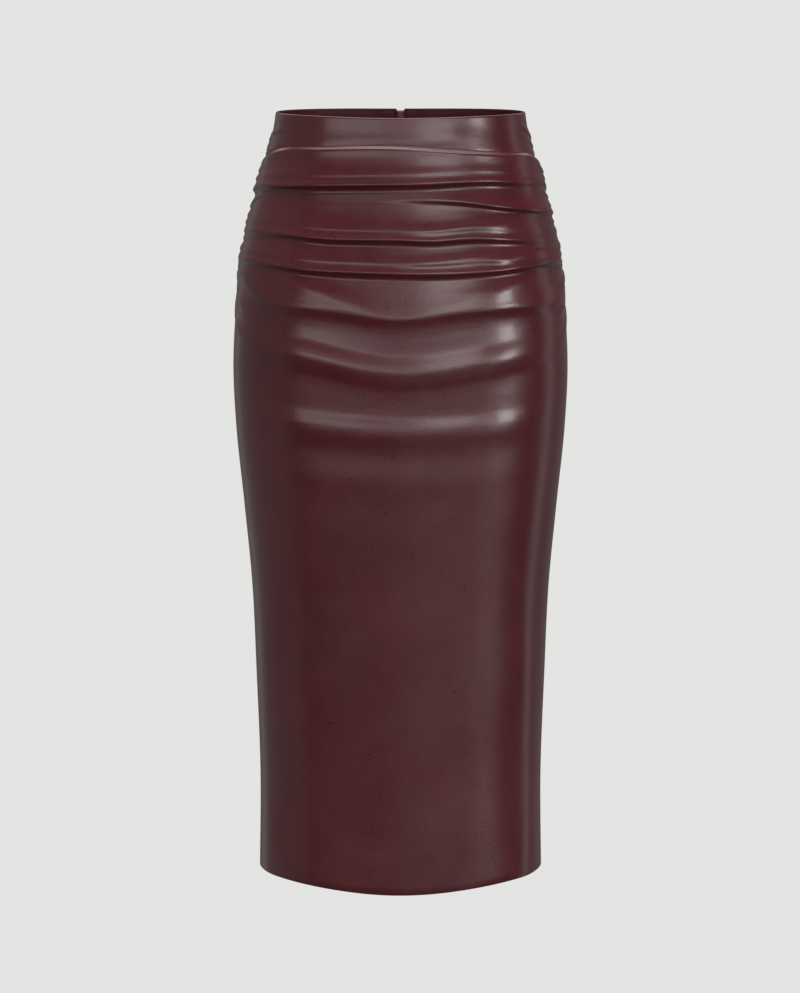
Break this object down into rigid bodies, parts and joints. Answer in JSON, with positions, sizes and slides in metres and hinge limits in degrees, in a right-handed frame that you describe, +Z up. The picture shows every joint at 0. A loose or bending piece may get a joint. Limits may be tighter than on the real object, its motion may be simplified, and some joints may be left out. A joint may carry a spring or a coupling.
{
  "type": "leather pencil skirt",
  "caption": "High-waisted midi pencil skirt in glossy leather-look cloth, ruched into the side seams over the hips, with a concealed centre back zip and a hinged pull tab.",
  "frame": {"origin": "middle of the waist ring, level with the waist edge at the side seams", "axes": "+Z up, the front faces -Y, +X towards the wearer's left"},
  "size_m": [0.3325, 0.2423, 0.769],
  "materials": {
    "leather": "glossy coated leather-look cloth with a fine grain",
    "facing": "the same cloth, seen inside the waist",
    "tape": "woven zip tape",
    "zip_lacquer": "glossy lacquer over metal"
  },
  "bodies": {
    "skirt": {"front_panel": "leather", "back_left": "leather", "back_right": "leather", "facing_front": "facing", "facing_back_left": "facing", "facing_back_right": "facing", "zip_tape_left": "tape", "zip_tape_right": "tape", "zip_slider": "zip_lacquer"},
    "pull": {"zip_pull": "zip_lacquer"}
  },
  "joints": [
    {"name": "pull_hinge", "type": "hinge", "parent": "skirt", "child": "pull", "pos_m": [0, 0.09283, -0.006], "axis": [1, 0, 0], "range_deg": [0, 165]}
  ]
}
